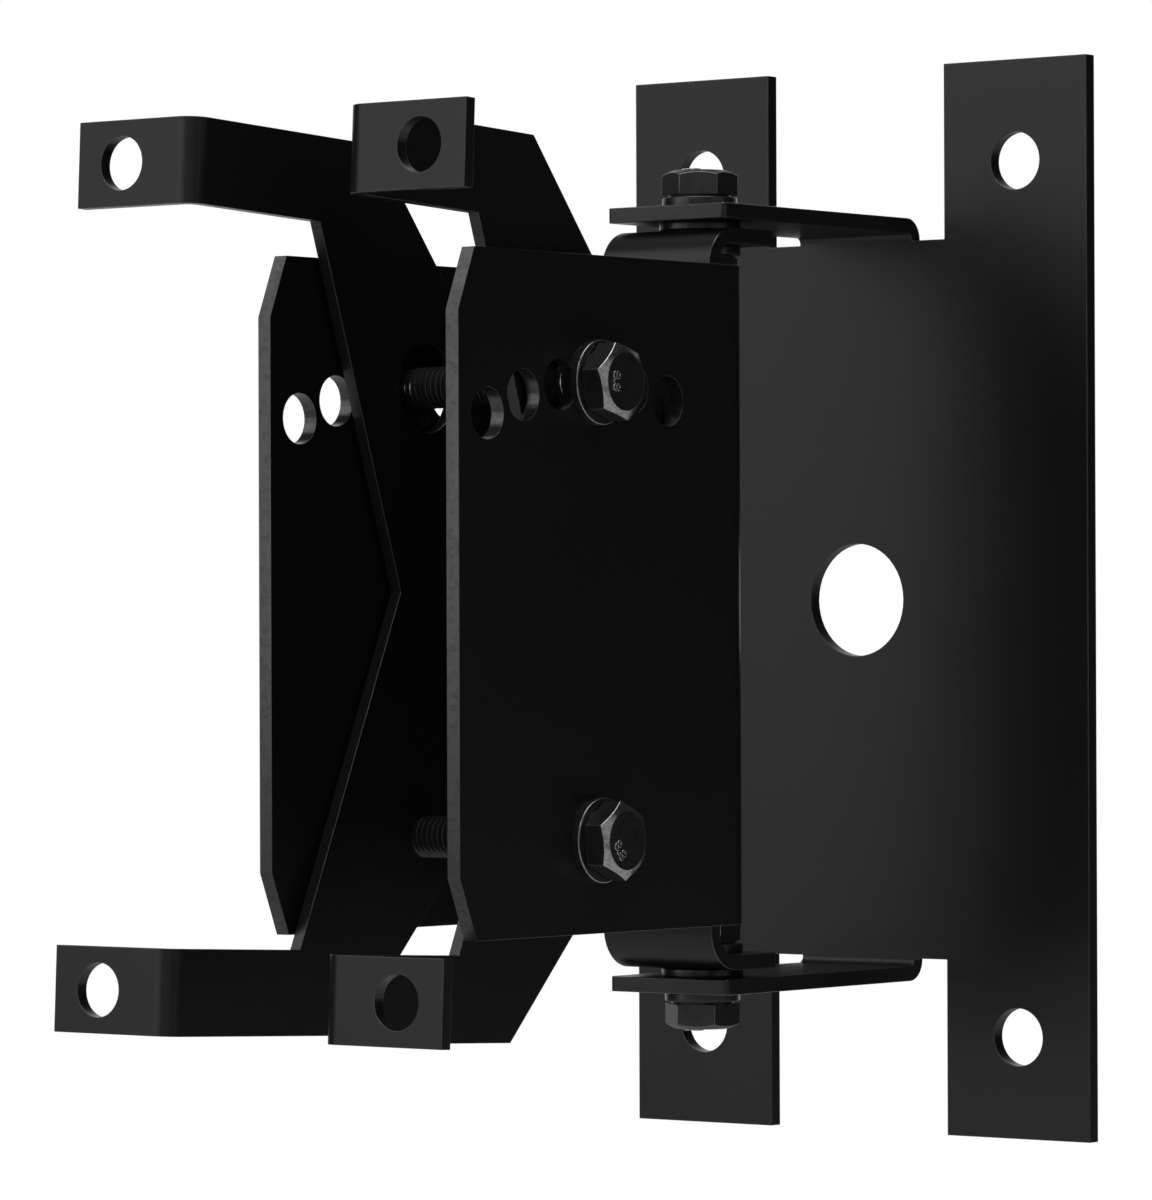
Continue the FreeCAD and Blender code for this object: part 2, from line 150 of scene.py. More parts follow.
# Scale, detail and roughness of the noise in each finish
COAT_WEAR = (900.0, 3.0, 0.65)
COAT_PEEL = (620.0, 1.5)
COAT_GRAIN = (3400.0, 2.0, 0.6)
COAT_CLOUD = (24.0, 3.0)
STEEL_WEAR = (1500.0, 3.0, 0.65)
STEEL_MOTTLE = (420.0, 3.0, 0.6)
STEEL_GRAIN = (5200.0, 2.0)

# Parts of the range of one noise, and of two mixed, that are stretched over the whole
NOISE_RANGE = (0.3, 0.7)
MIXED_RANGE = (0.35, 0.65)

# Share of the clouds in the coat's tone, and of the mottle in the steel's grain
CLOUD_SHARE = 0.6
MOTTLE_SHARE = 0.5

# Darkest and palest shade, as shares of the mean colour
COAT_SHADES = (0.82, 1.2)
STEEL_SHADES = (0.88, 1.16)

# Spread of the roughness, and how much smoother a rubbed place is
COAT_SPREAD = 0.10
STEEL_SPREAD = 0.08
POLISH = 0.12

# Strength and depth of the bumps, and the height of the second noise in each
COAT_BUMP = (0.55, 0.02 * MM)
STEEL_BUMP = (0.25, 0.01 * MM)
COAT_SECOND = 0.35
STEEL_SECOND = 0.3

# How metallic the black oxide is, with the rubbed steel fully so
OXIDE_METALLIC = 0.8

# Patches between these values run from sound to fully worn
SOUND = 0.1
WORN = 0.55

# Places of the sockets that have no name of their own on the Mix and Attribute nodes
MIX_FACTOR, MIX_FIRST, MIX_SECOND, MIX_COLOUR = 0, 6, 7, 2
ATTRIBUTE_FACTOR = 2

WHITE = (1, 1, 1)

# Values of the stage

# Place, width and height of each lamp
LAMPS = {
    "Top": ((0.1, -0.2, 2.0), 1.7, 1.7),
    "Key": ((-1.3, -1.4, 1.25), 1.1, 1.0),
    "Rim": ((0.32, -1.6, 1.35), 0.4, 0.4),
    "Panel": ((-0.92, -2.15, 0.4), 1.9, 1.2),
    "Side": ((2.0, -0.05, 0.45), 1.8, 1.5),
    "Front": ((1.1, -2.03, 0.5), 2.3, 1.7),
}
LAMP_TARGET = Vector((0, -0.09, 0))
FLOOR_SIZE = 3.4
SENSOR_WIDTH = 36.0
CAMERA_REACH = 50.0


# Meshes

def new_mesh(name, shape, finish):
    """Links a bmesh as an object with one material, and frees it."""
    mesh = bpy.data.meshes.new(name)
    shape.to_mesh(mesh)
    shape.free()
    mesh.materials.append(finish)
    made = bpy.data.objects.new(name, mesh)
    bpy.context.scene.collection.objects.link(made)
    return made


def new_piece(name, shape, finish, body):
    """Links a finished bmesh as a piece that rides on a body."""
    piece = new_mesh(name, shape, finish)
    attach(piece, body)
    return piece


def stand_in(node, name, shape, finish, body):
    """Piece in the place of a node, with its flat faces kept flat beside their rounded edges."""
    piece = new_piece(name, shape, finish, body)
    modifier = piece.modifiers.new("Weighted Normals", "WEIGHTED_NORMAL")
    modifier.mode = "FACE_AREA"
    modifier.weight = 50
    modifier.keep_sharp = True
    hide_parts(node)


def smooth_faces(shape):
    for face in shape.faces:
        face.smooth = True


def sharp_edges(edges, limit):
    """The edges whose two faces meet at more than an angle."""
    return [edge for edge in edges if edge.is_manifold and edge.calc_face_angle(0) > limit]


def mark_faces(shape, faces, amount):
    layer = shape.loops.layers.float.get(WEAR) or shape.loops.layers.float.new(WEAR)
    for face in faces:
        for corner in face.loops:
            corner[layer] = amount


def mark_chamfers(shape, amount):
    """Marks the sloping faces of a part that was turned about the Z axis."""
    shape.normal_update()
    sloping = [face for face in shape.faces if CHAMFER_LOW < abs(face.normal.z) < CHAMFER_HIGH]
    mark_faces(shape, sloping, amount)


def round_edges(shape, edges, radius, segments, amount=1.0):
    """Rounds edges and marks the new faces with their share of wear."""
    made = bmesh.ops.bevel(shape, geom=edges, offset=radius, offset_type="OFFSET",
                           segments=segments, profile=0.5, affect="EDGES", material=-1,
                           clamp_overlap=True)
    mark_faces(shape, made["faces"], amount)


def rotate_about_z(shape, angle):
    bmesh.ops.rotate(shape, verts=shape.verts, cent=(0, 0, 0),
                     matrix=Matrix.Rotation(angle, 3, "Z"))


def cut_off(shape, point, outward, tolerance):
    """Cuts away what lies beyond a plane and closes the cut."""
    geometry = shape.verts[:] + shape.edges[:] + shape.faces[:]
    cut = bmesh.ops.bisect_plane(shape, geom=geometry, dist=tolerance, plane_co=point,
                                 plane_no=outward, clear_outer=True)
    rim = [item for item in cut["geom_cut"] if isinstance(item, bmesh.types.BMEdge)]
    bmesh.ops.holes_fill(shape, edges=rim, sides=0)


def join(shapes):
    """Puts several closed shapes into the first one."""
    whole = shapes[0]
    for shape in shapes[1:]:
        holder = bpy.data.meshes.new("part")
        shape.to_mesh(holder)
        shape.free()
        whole.from_mesh(holder)
        bpy.data.meshes.remove(holder)
    return whole


def spun(profile, closed, steps, angle, rise, merge):
    """Sweeps pairs of radius and height round the Z axis, and up by the rise on the way."""
    shape = bmesh.new()
    points = [shape.verts.new((radius, 0, height)) for radius, height in profile]
    following = points[1:] + points[:1] if closed else points[1:]
    edges = [shape.edges.new(pair) for pair in zip(points, following)]
    bmesh.ops.spin(shape, geom=points + edges, cent=(0, 0, 0), axis=(0, 0, 1),
                   dvec=(0, 0, rise / steps), angle=angle, steps=steps, use_merge=merge,
                   use_duplicate=False)
    return shape


def turned(profile, steps, angle=math.tau, rise=0.0):
    """Closed shape turned from a profile, which is a ring where it doesn't start on the axis."""
    ring = profile[0][0] > 0
    full = angle == math.tau and rise == 0.0
    shape = spun(profile, ring, steps, angle, rise, full)
    bmesh.ops.remove_doubles(shape, verts=shape.verts, dist=MERGE)
    if ring and not full:
        open_edges = [edge for edge in shape.edges if edge.is_boundary]
        bmesh.ops.holes_fill(shape, edges=open_edges, sides=0)
    bmesh.ops.recalc_face_normals(shape, faces=shape.faces)
    return shape


# Plates and welds

def is_sheared(face, width):
    """Whether a face is a cut strip between sharp edges, or a facet of a punched hole's wall."""
    sharp = sharp_edges(face.edges, CUT_ANGLE)
    around = face.calc_perimeter()
    is_narrow = 2 * face.calc_area() < width * around
    is_strip = is_narrow and sum(edge.calc_length() for edge in sharp) > SHARP_SHARE * around
    is_small = max(edge.calc_length() for edge in face.edges) < width
    return is_strip or (is_small and len(sharp) >= 2)


def folded_plate(node, settings):
    """Copy of a plate's solid with its cut edges rounded."""
    body, rubbed, roundness = PLATES[node]
    shape = bmesh.new()
    shape.from_mesh(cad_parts[node].data)
    bmesh.ops.remove_doubles(shape, verts=shape.verts, dist=MERGE)
    bmesh.ops.dissolve_limit(shape, angle_limit=FLAT_ANGLE, verts=shape.verts, edges=shape.edges)
    sheared = [face for face in shape.faces if is_sheared(face, settings.sheet)]
    # Cut edges get the worn coat, which also paints them paler as a painted highlight
    mark_faces(shape, sheared, settings.sheared_wear_and_highlight * rubbed)
    round_edges(shape, sharp_edges(shape.edges, CUT_ANGLE), settings.edge_radius * roundness,
                settings.edge_segments)
    smooth_faces(shape)
    stand_in(node, f"coated_{node}", shape, powder_coat(settings), body)


def weld_bead(settings, corner, low, high, side):
    """Rippled weld along an upright corner."""
    radius = settings.weld_radius
    length = high - low
    shape = bmesh.new()
    bmesh.ops.create_cone(shape, cap_ends=True, segments=WELD_SIDES, radius1=radius,
                          radius2=radius, depth=length)
    upright = [edge for edge in shape.edges
               if abs(edge.verts[0].co.z - edge.verts[1].co.z) > length / 2]
    bmesh.ops.subdivide_edges(shape, edges=upright, cuts=int(length / WELD_STEP),
                              use_grid_fill=True)
    for vertex in shape.verts:
        run = vertex.co.z + length / 2
        ripple = 1 + WELD_SWELL * math.sin(math.tau * run / settings.weld_ripple)
        end = min(run, length - run) / radius
        taper = math.sqrt(max(WELD_TIP, 1 - max(0.0, 1 - end) ** 2))
        vertex.co.x *= ripple * taper
        vertex.co.y *= ripple * taper
    centre = (corner[0] + side * radius * WELD_SHIFT, corner[1] + radius * WELD_SHIFT,
              (low + high) / 2)
    bmesh.ops.translate(shape, verts=shape.verts, vec=centre)
    return shape


def weld_beads(settings):
    """Beads on both corners where the tilt channel meets the swivel channel."""
    low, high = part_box("swivel_channel")
    shape = join([weld_bead(settings, (edge, low.y), bottom, top, side)
                  for side, edge in ((1, high.x), (-1, low.x)) for bottom, top in WELD_RUNS])
    smooth_faces(shape)
    new_piece("weld_beads", shape, powder_coat(settings), "swivel")


# Fasteners

def hexagon(settings, profile, rubbed=1.0):
    """Turned blank cut to six flats, with one corner on the X axis and its edges rounded."""
    shape = turned(profile, settings.round_steps)
    for index in range(6):
        angle = math.radians(30 + 60 * index)
        outward = Vector((math.cos(angle), math.sin(angle), 0))
        cut_off(shape, outward * settings.across_flats / 2, outward, MERGE)
    mark_chamfers(shape, settings.chamfer_wear * rubbed)
    round_edges(shape, sharp_edges(shape.edges, HEXAGON_ANGLE), settings.fastener_edge_radius,
                HEXAGON_EDGE_SEGMENTS, math.sqrt(rubbed))
    smooth_faces(shape)
    return shape


def bolt_head(settings, rubbed):
    crown = settings.crown_radius
    blank = settings.across_flats * BLANK_SHARE
    collar = settings.across_flats * COLLAR_SHARE
    drop = (blank - crown) * math.tan(settings.crown_slope)
    height = settings.head_height
    lift = settings.collar_height
    profile = [(0, height), (crown, height), (blank, height - drop), (blank, lift),
               (collar, lift), (collar, 0), (0, 0)]
    return hexagon(settings, profile, rubbed)


def nut_shape(settings, height):
    crown = settings.across_flats * NUT_FLAT_SHARE
    blank = settings.across_flats * BLANK_SHARE
    drop = (blank - crown) * math.tan(settings.crown_slope)
    bore = settings.thread_diameter / 2 + THREAD_PLAY
    mouth = bore + NUT_MOUTH
    profile = [(mouth, height), (crown, height), (blank, height - drop), (blank, drop),
               (crown, 0), (mouth, 0), (bore, NUT_MOUTH), (bore, height - NUT_MOUTH)]
    return hexagon(settings, profile)


def thread(settings, length):
    """Screw thread from just inside the head down to a chamfered tip."""
    pitch = settings.thread_pitch
    crest = settings.thread_diameter / 2 - THREAD_PLAY
    root = crest - THREAD_DEPTH * pitch
    turns = int(length / pitch) + SPARE_TURNS
    profile = []
    for index in range(turns):
        start = index * pitch
        profile += [(root, start), (root, start + pitch * ROOT_END),
                    (crest, start + pitch * CREST_START), (crest, start + pitch * CREST_END)]
    profile.append((root, turns * pitch))
    profile = [(radius, height - turns * pitch + pitch) for radius, height in profile]
    shape = spun(profile, False, settings.thread_steps, math.tau, pitch, False)
    bmesh.ops.remove_doubles(shape, verts=shape.verts, dist=THREAD_MERGE)
    cut_off(shape, (0, 0, THREAD_REACH), (0, 0, 1), THREAD_CUT)
    cut_off(shape, (0, 0, -length), (0, 0, -1), THREAD_CUT)
    for vertex in shape.verts:
        allowed = crest - max(0.0, settings.tip_chamfer - (vertex.co.z + length))
        radius = vertex.co.xy.length
        if radius > allowed:
            vertex.co.x *= allowed / radius
            vertex.co.y *= allowed / radius
    bmesh.ops.recalc_face_normals(shape, faces=shape.faces)
    ridge = [face for face in shape.faces
             if all(vertex.co.xy.length > crest - CREST_BAND for vertex in face.verts)]
    mark_faces(shape, ridge, settings.thread_wear)
    return shape


def raised_mark(settings):
    """Strength class as raised figures near the rim of a head, on the X side of its axis."""
    curve = bpy.data.curves.new("mark", "FONT")
    curve.body = settings.mark
    curve.size = settings.mark_size
    curve.extrude = settings.mark_height
    curve.bevel_depth = settings.mark_height * MARK_BEVEL
    curve.align_x = "CENTER"
    curve.align_y = "CENTER"
    holder = bpy.data.objects.new("mark", curve)
    bpy.context.scene.collection.objects.link(holder)
    bpy.context.view_layer.update()
    evaluated = holder.evaluated_get(bpy.context.evaluated_depsgraph_get())
    figures = bpy.data.meshes.new_from_object(evaluated)
    bpy.data.objects.remove(holder)
    shape = bmesh.new()
    shape.from_mesh(figures)
    bpy.data.meshes.remove(figures)
    bmesh.ops.remove_doubles(shape, verts=shape.verts, dist=MERGE)
    mark_faces(shape, shape.faces, 1.0)
    rotate_about_z(shape, math.radians(90))
    bmesh.ops.translate(shape, verts=shape.verts,
                        vec=(settings.mark_offset, 0, settings.head_height))
    return shape


def washer_ring(settings, rubbed, outer, thickness, angle, rise):
    bore = settings.thread_diameter / 2 + WASHER_PLAY
    edge = WASHER_EDGE
    profile = [(bore, edge), (bore + edge, 0), (outer - edge, 0),
               (outer - WASHER_EDGE_IN, WASHER_EDGE_UP), (outer, edge), (outer, thickness - edge),
               (outer - WASHER_EDGE_IN, thickness - WASHER_EDGE_UP), (outer - edge, thickness),
               (bore + edge, thickness), (bore, thickness - edge)]
    shape = turned(profile, settings.round_steps, angle, rise)
    mark_chamfers(shape, settings.washer_wear * rubbed)
    return shape


# Places of the fasteners, read from the solids

def middle(node):
    low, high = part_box(node)
    return (low + high) / 2


def length_along(node, axis):
    low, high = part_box(node)
    return abs((high - low).dot(axis))


def near_end(node, axis):
    """Point on a node's axis at the end that the axis points away from."""
    return middle(node) - axis * (length_along(node, axis) / 2)


def corner_direction(node, axis):
    """Direction from the axis to a corner of the solid's hexagon, for the detailed one to match."""
    centre = middle(node)
    best = Vector((0, 0, 0))
    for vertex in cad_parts[node].data.vertices:
        offset = vertex.co - centre
        across = offset - axis * offset.dot(axis)
        if across.length > best.length + MERGE:
            best = across
    return best.normalized()


def put(shape, origin, axis, side):
    """Moves a shape from the origin, with its Z along an axis and its X to one side of it."""
    turn = Matrix((side, axis.cross(side), axis)).transposed().to_4x4()
    bmesh.ops.transform(shape, matrix=Matrix.Translation(origin) @ turn, verts=shape.verts)


def steel_piece(node, shape, body, settings):
    stand_in(node, f"detailed_{node}", shape, black_steel(settings), body)


def make_bolt(node, axis, body, mark_side, rubbed, settings):
    """Bolt whose figures stand on the given side of its axis."""
    whole = length_along(node, axis)
    head_base = middle(node) + axis * (whole / 2 - settings.head_height)
    head = bolt_head(settings, rubbed)
    shape = join([head, thread(settings, whole - settings.head_height)])
    put(shape, head_base, axis, corner_direction(node, axis))
    mark = raised_mark(settings)
    put(mark, head_base, axis, mark_side)
    steel_piece(node, join([shape, mark]), body, settings)


def make_nut(node, axis, body, settings):
    shape = nut_shape(settings, length_along(node, axis))
    put(shape, near_end(node, axis), axis, corner_direction(node, axis))
    steel_piece(node, shape, body, settings)


def make_washer(node, axis, body, rubbed, settings, split=False):
    """Flat washer, or a spring washer with the gap and step of its split ends."""
    low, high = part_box(node)
    outer = max(high - low) / 2
    gap = settings.split_width / outer if split else 0.0
    rise = settings.split_rise if split else 0.0
    thickness = length_along(node, axis) - rise
    shape = washer_ring(settings, rubbed, outer, thickness, math.tau - gap, rise)
    rotate_about_z(shape, gap / 2)
    smooth_faces(shape)
    side = Vector((0, 1, 0)) if abs(axis.z) > 0.5 else Vector((0, 0, 1))
    put(shape, near_end(node, axis), axis, side)
    steel_piece(node, shape, body, settings)


# Finishes

class Wire:
    """A shader socket that takes part in arithmetic."""

    def __init__(self, graph, socket):
        self.graph = graph
        self.socket = socket

    def _math(self, operation, first, second):
        return self.graph.add("ShaderNodeMath", {"operation": operation}, {0: first, 1: second})

    def __add__(self, other):
        return self._math("ADD", self, other)

    __radd__ = __add__

    def __sub__(self, other):
        return self._math("SUBTRACT", self, other)

    def __rsub__(self, other):
        return self._math("SUBTRACT", other, self)

    def __mul__(self, other):
        return self._math("MULTIPLY", self, other)

    __rmul__ = __mul__


class Graph:
    """Node tree of a material or world."""

    def __init__(self, owner):
        owner.use_nodes = True
        self.tree = owner.node_tree
        self.tree.nodes.clear()

    def add(self, kind, settings=None, inputs=None, output=0):
        """Adds a node, sets it up, feeds its inputs and returns one of its outputs, if any."""
        node = self.tree.nodes.new(kind)
        for key, value in (settings or {}).items():
            setattr(node, key, value)
        for key, value in (inputs or {}).items():
            if isinstance(value, Wire):
                self.tree.links.new(value.socket, node.inputs[key])
            else:
                node.inputs[key].default_value = value
        return Wire(self, node.outputs[output]) if node.outputs else None

    def noise(self, place, scale, detail, roughness=0.5):
        return self.add("ShaderNodeTexNoise", {"noise_dimensions": "3D"}, {
            "Vector": place, "Scale": scale, "Detail": detail, "Roughness": roughness})

    def ramp(self, factor, low, high):
        """Stretches the part of a value between low and high over zero to one."""
        return self.add("ShaderNodeMapRange", {"clamp": True}, {
            "Value": factor, "From Min": low, "From Max": high})

    def blend(self, factor, first, second):
        return self.add("ShaderNodeMix", {"data_type": "RGBA"}, {
            MIX_FACTOR: factor, MIX_FIRST: first, MIX_SECOND: second}, output=MIX_COLOUR)

    def wear(self, patches):
        """Share of worn finish, which on the coat's cut edges is also a painted highlight: the
        marked faces, broken up by patches.
        """
        marked = self.add("ShaderNodeAttribute", {"attribute_name": WEAR}, output=ATTRIBUTE_FACTOR)
        return marked * self.ramp(patches, SOUND, WORN)

    def colour(self, tone, mean, shades, worn, rubbed):
        """Shades of a mean colour by tone, and the rubbed colour where the finish is worn."""
        dark, pale = (rgba(mean, gain) for gain in shades)
        return self.blend(worn, self.blend(tone, dark, pale), rgba(rubbed))

    def roughness(self, grain, mean, spread, worn):
        return grain * spread + (mean - spread / 2) - worn * POLISH

    def bump(self, height, strength, depth):
        return self.add("ShaderNodeBump", None, {
            "Strength": strength, "Distance": depth, "Height": height})

    def ray(self, kind):
        """One where the ray is of a kind, which is Camera, Glossy or Transmission, and else zero."""
        return self.add("ShaderNodeLightPath", output=f"Is {kind} Ray")


def rgba(colour, gain=1.0):
    return (*(channel * gain for channel in colour), 1.0)


def shared_material(name, build, settings):
    """Material of a name, which is built the first time that it is asked for."""
    material = bpy.data.materials.get(name)
    if material is None:
        material = bpy.data.materials.new(name)
        graph = Graph(material)
        graph.add("ShaderNodeOutputMaterial", None, {"Surface": build(graph, settings)})
    return material


def powder_coat(settings):
    return shared_material("Black powder coat", powder_coat_shader, settings)


def powder_coat_shader(graph, settings):
    """Fine satin powder coat: near black, with a faint orange peel and slightly paler grains."""
    place = graph.add("ShaderNodeTexCoord", output="Object")
    worn = graph.wear(graph.noise(place, *COAT_WEAR))
    peel = graph.noise(place, *COAT_PEEL)
    grain = graph.noise(place, *COAT_GRAIN)
    cloud = graph.noise(place, *COAT_CLOUD)
    tone = graph.ramp(cloud * CLOUD_SHARE + grain * (1 - CLOUD_SHARE), *MIXED_RANGE)
    return graph.add("ShaderNodeBsdfPrincipled", None, {
        # Paler where worn: wear, and a painted highlight on the cut edges
        "Base Color": graph.colour(
            tone, settings.coat_colour, COAT_SHADES, worn, settings.worn_coat_and_highlight),
        "Roughness": graph.roughness(
            graph.ramp(grain, *NOISE_RANGE), settings.coat_roughness, COAT_SPREAD, worn),
        "Normal": graph.bump(peel + grain * COAT_SECOND, *COAT_BUMP),
        "Specular IOR Level": settings.coat_gloss,
        "Coat Weight": worn,
        "Coat Roughness": settings.worn_roughness})


def black_steel(settings):
    return shared_material("Black oxide steel", black_steel_shader, settings)


def black_steel_shader(graph, settings):
    """Black oxide steel with fine machining grain and rubbed high spots."""
    place = graph.add("ShaderNodeTexCoord", output="Object")
    mottle = graph.noise(place, *STEEL_MOTTLE)
    fine = graph.noise(place, *STEEL_GRAIN)
    worn = graph.wear(graph.noise(place, *STEEL_WEAR))
    tone = graph.ramp(mottle, *NOISE_RANGE)
    grain = graph.ramp(mottle * MOTTLE_SHARE + fine * (1 - MOTTLE_SHARE), *MIXED_RANGE)
    return graph.add("ShaderNodeBsdfPrincipled", None, {
        "Base Color": graph.colour(
            tone, settings.steel_colour, STEEL_SHADES, worn, settings.worn_steel),
        "Roughness": graph.roughness(grain, settings.steel_roughness, STEEL_SPREAD, worn),
        "Normal": graph.bump(fine + mottle * STEEL_SECOND, *STEEL_BUMP),
        "Metallic": worn * (1 - OXIDE_METALLIC) + OXIDE_METALLIC})


def pale_floor_shader(graph, settings):
    """Matt pale floor, which the camera sees nearer to white than it lights the bracket."""
    matt = graph.add("ShaderNodeBsdfDiffuse", None, {"Color": rgba(settings.floor_colour)})
    lift = graph.add("ShaderNodeEmission", None, {
        "Color": rgba(WHITE), "Strength": graph.ray("Camera") * settings.floor_lift})
    return graph.add("ShaderNodeAddShader", None, {0: matt, 1: lift})


# Stage

def area_lamp(name, place, width, height, power):
    lamp = bpy.data.lights.new(name, "AREA")
    lamp.shape = "RECTANGLE"
    lamp.size = width
    lamp.size_y = height
    lamp.energy = power
    holder = bpy.data.objects.new(name, lamp)
    holder.location = place
    holder.rotation_euler = (LAMP_TARGET - Vector(place)).to_track_quat("-Z", "Y").to_euler()
    bpy.context.scene.collection.objects.link(holder)


def add_floor(settings):
    shape = bmesh.new()
    bmesh.ops.create_grid(shape, x_segments=1, y_segments=1, size=FLOOR_SIZE / 2)
    pale_floor = shared_material("Pale floor", pale_floor_shader, settings)
    floor = new_mesh("Floor", shape, pale_floor)
    floor.location = (0, 0, -settings.floor_drop)


def add_camera(settings):
    camera = bpy.data.cameras.new("Camera")
    camera.lens = settings.lens
    camera.sensor_width = SENSOR_WIDTH
    camera.sensor_fit = "AUTO"
    camera.clip_end = CAMERA_REACH
    holder = bpy.data.objects.new("Camera", camera)
    azimuth = settings.azimuth
    elevation = settings.elevation
    forward = Vector((-math.sin(azimuth) * math.cos(elevation),
                      math.cos(azimuth) * math.cos(elevation), -math.sin(elevation)))
    level = Vector((math.cos(azimuth), math.sin(azimuth), 0))
    upright = level.cross(forward)
    roll = settings.roll
    right = level * math.cos(roll) - upright * math.sin(roll)
    up = upright * math.cos(roll) + level * math.sin(roll)
    turn = Matrix((right, up, -forward)).transposed().to_4x4()
    holder.matrix_world = Matrix.Translation(settings.camera_place) @ turn
    bpy.context.scene.collection.objects.link(holder)
    bpy.context.scene.camera = holder


def light_world(settings):
    """White backdrop, shown in reflections where it is behind the bracket, and a dim room."""
    world = bpy.data.worlds.new("Studio")
    bpy.context.scene.world = world
    graph = Graph(world)
    direction = graph.add("ShaderNodeTexCoord", output="Generated")
    forward = (-math.sin(settings.azimuth), math.cos(settings.azimuth), 0)
    facing = graph.add("ShaderNodeVectorMath", {"operation": "DOT_PRODUCT"},
                       {0: direction, 1: forward}, output="Value")
    behind = graph.ramp(facing, math.cos(settings.backdrop_reach), 1.0)
    seen = graph.ray("Camera") + graph.ray("Transmission") + graph.ray("Glossy") * behind
    dim, white = (
        graph.add("ShaderNodeBackground", None, {"Color": rgba(WHITE), "Strength": strength})
        for strength in (settings.ambient, 1.0))
    mix = graph.add("ShaderNodeMixShader", None, {0: seen, 1: dim, 2: white})
    graph.add("ShaderNodeOutputWorld", None, {"Surface": mix})


# Settings

class PlateSettings(bpy.types.PropertyGroup):
    edge_radius: bpy.props.FloatProperty(
        name="Edge radius", description="Rounding of the punched edges", default=0.45 * MM,
        min=0.0, unit="LENGTH", precision=5)
    edge_segments: bpy.props.IntProperty(
        name="Edge segments", description="Facets round each edge", default=3, min=1)
    coat_colour: bpy.props.FloatVectorProperty(
        name="Coat colour", description="Mean colour of the powder coat", subtype="COLOR",
        default=(0.0052, 0.0052, 0.0054), min=0.0, max=1.0)
    coat_roughness: bpy.props.FloatProperty(
        name="Coat roughness", description="Mean roughness of the powder coat", default=0.36,
        min=0.0, max=1.0)
    coat_gloss: bpy.props.FloatProperty(
        name="Coat gloss", description="Strength of the coat's reflections", default=0.5,
        min=0.0, max=1.0)
    # Paler coat on rubbed edges: partly wear, partly a painted highlight on the cut edges
    worn_coat_and_highlight: bpy.props.FloatVectorProperty(
        name="Worn coat", description="Colour of the coat where its edges are rubbed",
        subtype="COLOR", default=(0.016, 0.016, 0.016), min=0.0, max=1.0)
    worn_roughness: bpy.props.FloatProperty(
        name="Worn roughness", description="Roughness of the polish on rubbed edges",
        default=0.28, min=0.0, max=1.0)
    sheet: bpy.props.FloatProperty(
        name="Sheet", description="Widest face that counts as a sheared edge", default=3.1 * MM,
        unit="LENGTH", precision=5)
    # Wear of the cut edges, which also paints them paler as a painted highlight
    sheared_wear_and_highlight: bpy.props.FloatProperty(
        name="Sheared edge wear", description="Wear of the sheared edges' faces", default=0.95,
        min=0.0, max=1.0)
    weld_radius: bpy.props.FloatProperty(
        name="Weld radius", description="Radius of a weld bead", default=2.2 * MM,
        unit="LENGTH", precision=5)
    weld_ripple: bpy.props.FloatProperty(
        name="Weld ripple", description="Distance between the ripples of a bead",
        default=1.3 * MM, unit="LENGTH", precision=5)


